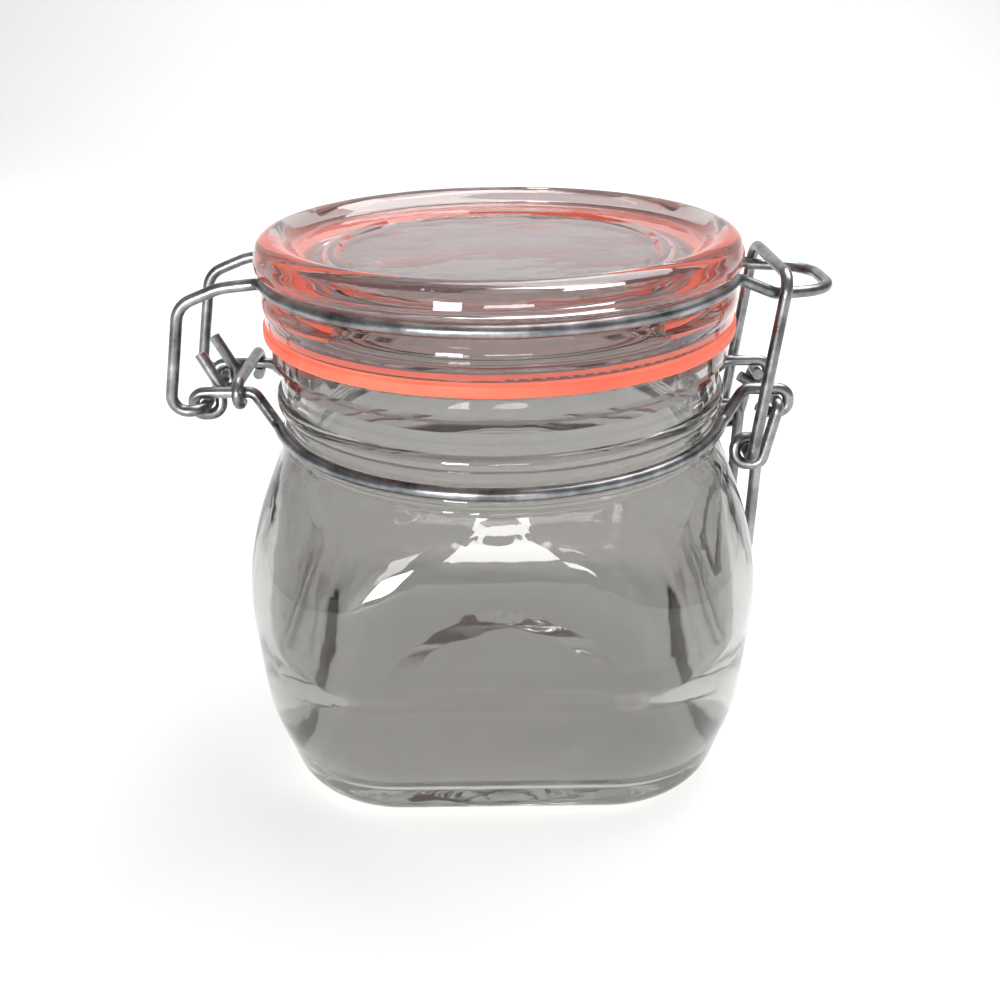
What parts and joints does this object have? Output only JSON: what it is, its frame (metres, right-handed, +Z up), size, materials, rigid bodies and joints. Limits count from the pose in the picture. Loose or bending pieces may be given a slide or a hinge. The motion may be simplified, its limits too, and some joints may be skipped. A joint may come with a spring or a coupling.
{
  "type": "canning jar",
  "caption": "Square clear-glass canning jar with a hinged glass lid, a rubber gasket and a wire clamp closure with a lever and bail.",
  "frame": {"origin": "centre of the base on the table, under the middle of the jar", "axes": "+Z up the jar, +X from the hinge towards the latch, +Y along the hinge's pivot bar"},
  "size_m": [0.1309, 0.0974, 0.1063],
  "materials": {
    "clear_glass": "clear polished",
    "rubber": "matte",
    "steel_wire": "galvanised"
  },
  "bodies": {
    "jar": {"jar_glass": "clear_glass", "neck_wire_front": "steel_wire", "neck_wire_rear": "steel_wire", "tie_wire": "steel_wire"},
    "lid": {"lid_glass": "clear_glass", "gasket": "rubber", "lid_wire": "steel_wire"},
    "lever": {"lever_wire": "steel_wire"},
    "bail": {"bail_wire": "steel_wire"}
  },
  "joints": [
    {"name": "lid_hinge", "type": "hinge", "parent": "jar", "child": "lid", "pos_m": [-0.0585, 0, 0.0726], "axis": [0, -1, 0], "range_deg": [0, 105]},
    {"name": "lever_pivot", "type": "hinge", "parent": "jar", "child": "lever", "pos_m": [0.0548, 0, 0.072], "axis": [0, -1, 0], "range_deg": [0, 120]},
    {"name": "bail_pivot", "type": "hinge", "parent": "lever", "child": "bail", "pos_m": [0.0494, 0, 0.0619], "axis": [0, -1, 0], "range_deg": [-120, 0]}
  ],
  "couplings": [
    {"joint": "bail_pivot", "follows": "lever_pivot", "ratio": -1}
  ]
}
